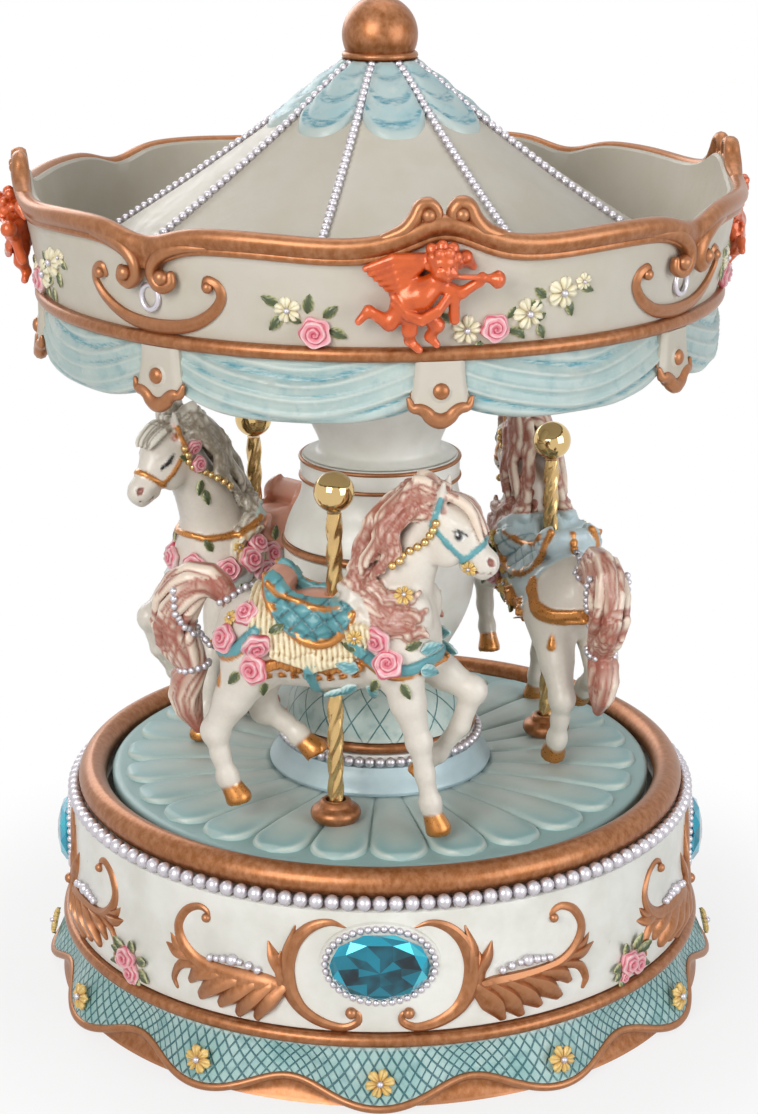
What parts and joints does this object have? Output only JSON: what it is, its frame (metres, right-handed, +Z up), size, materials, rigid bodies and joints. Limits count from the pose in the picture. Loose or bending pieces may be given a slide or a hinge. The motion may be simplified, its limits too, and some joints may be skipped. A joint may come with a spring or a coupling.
{
  "type": "wind up music box",
  "caption": "Wind-up music box: a carousel with horses on twisted poles under a scalloped canopy turns on a jewelled drum that holds a spring movement.",
  "frame": {"origin": "centre of the footprint, on the table under the felt ring", "axes": "+Z up along the spindle, -Y the front with the front gem, +X the right"},
  "size_m": [0.1866, 0.1866, 0.2598],
  "materials": {
    "white_resin": "satin",
    "ivory_resin": "satin",
    "pale_teal_resin": "satin",
    "teal_resin": "satin",
    "copper_gold_paint": "satin metallic",
    "polished_brass": "polished",
    "silver_pearl": "pearly",
    "teal_glass": "faceted",
    "copper_glaze": "glossy",
    "steel": "brushed",
    "green_felt": "felt",
    "board": "matt",
    "horse_resin": "satin"
  },
  "bodies": {
    "base": {"base_drum": "white_resin", "base_skirt": "teal_resin", "lower_moulding": "copper_gold_paint", "rim_ring": "copper_gold_paint", "rim_pearl_ring": "silver_pearl", "gem_front": "teal_glass", "gem_right": "teal_glass", "gem_back": "teal_glass", "gem_left": "teal_glass", "bottom_plate": "board", "plate_screw_1": "steel", "plate_screw_2": "steel", "plate_screw_3": "steel", "plate_screw_4": "steel", "felt_ring": "green_felt", "cam_track": "white_resin", "spindle_bush": "polished_brass", "movement_bedplate": "steel", "comb": "steel", "governor_frame": "steel"},
    "carousel": {"turntable": "pale_teal_resin", "pole_collar_front": "copper_gold_paint", "pole_collar_right": "copper_gold_paint", "pole_collar_left": "copper_gold_paint", "spindle": "steel", "spring_barrel": "polished_brass", "column_foot": "pale_teal_resin", "column_pearl_ring": "silver_pearl", "column_gold_ring": "copper_gold_paint", "column_bulb": "pale_teal_resin", "column_vase": "white_resin", "column_shoulder_ring": "copper_gold_paint", "column_drum": "white_resin", "column_cone": "white_resin", "canopy_ceiling": "white_resin", "canopy_valance": "teal_resin", "canopy_band": "copper_gold_paint", "canopy_crown": "ivory_resin", "crown_rail": "copper_gold_paint", "crown_cherub_1": "copper_glaze", "crown_cherub_2": "copper_glaze", "crown_cherub_3": "copper_glaze", "crown_cherub_4": "copper_glaze", "canopy_roof": "ivory_resin", "finial_neck": "copper_gold_paint", "finial_ball": "copper_gold_paint"},
    "horse_front_body": {"horse_front": "horse_resin", "pole_front": "polished_brass", "ball_front": "polished_brass"},
    "horse_right_body": {"horse_right": "horse_resin", "pole_right": "polished_brass", "ball_right": "polished_brass"},
    "horse_left_body": {"horse_left": "horse_resin", "pole_left": "polished_brass", "ball_left": "polished_brass"},
    "key": {"winding_key": "polished_brass", "winding_arbor": "steel"},
    "cylinder": {"pinned_cylinder": "polished_brass"},
    "governor": {"governor_fan": "polished_brass"}
  },
  "joints": [
    {"name": "carousel_spin", "type": "hinge", "parent": "base", "child": "carousel", "pos_m": [0, 0, 0.0535], "axis": [0, 0, 1], "continuous": true},
    {"name": "horse_front_lift", "type": "slide", "parent": "carousel", "child": "horse_front_body", "axis": [0, 0, 1], "range_m": [0, 0.006]},
    {"name": "horse_right_lift", "type": "slide", "parent": "carousel", "child": "horse_right_body", "axis": [0, 0, 1], "range_m": [0, 0.006]},
    {"name": "horse_left_lift", "type": "slide", "parent": "carousel", "child": "horse_left_body", "axis": [0, 0, 1], "range_m": [0, 0.006]},
    {"name": "key_turn", "type": "hinge", "parent": "base", "child": "key", "pos_m": [0, 0, 0.006], "axis": [0, 0, 1], "continuous": true},
    {"name": "cylinder_turn", "type": "hinge", "parent": "base", "child": "cylinder", "pos_m": [0, 0.0194, 0.0313], "axis": [0, 1, 0], "continuous": true},
    {"name": "governor_turn", "type": "hinge", "parent": "base", "child": "governor", "pos_m": [0, 0.0563, 0.03], "axis": [0, 0, 1], "continuous": true}
  ],
  "couplings": [
    {"joint": "cylinder_turn", "follows": "carousel_spin", "ratio": 3},
    {"joint": "governor_turn", "follows": "carousel_spin", "ratio": 108}
  ]
}
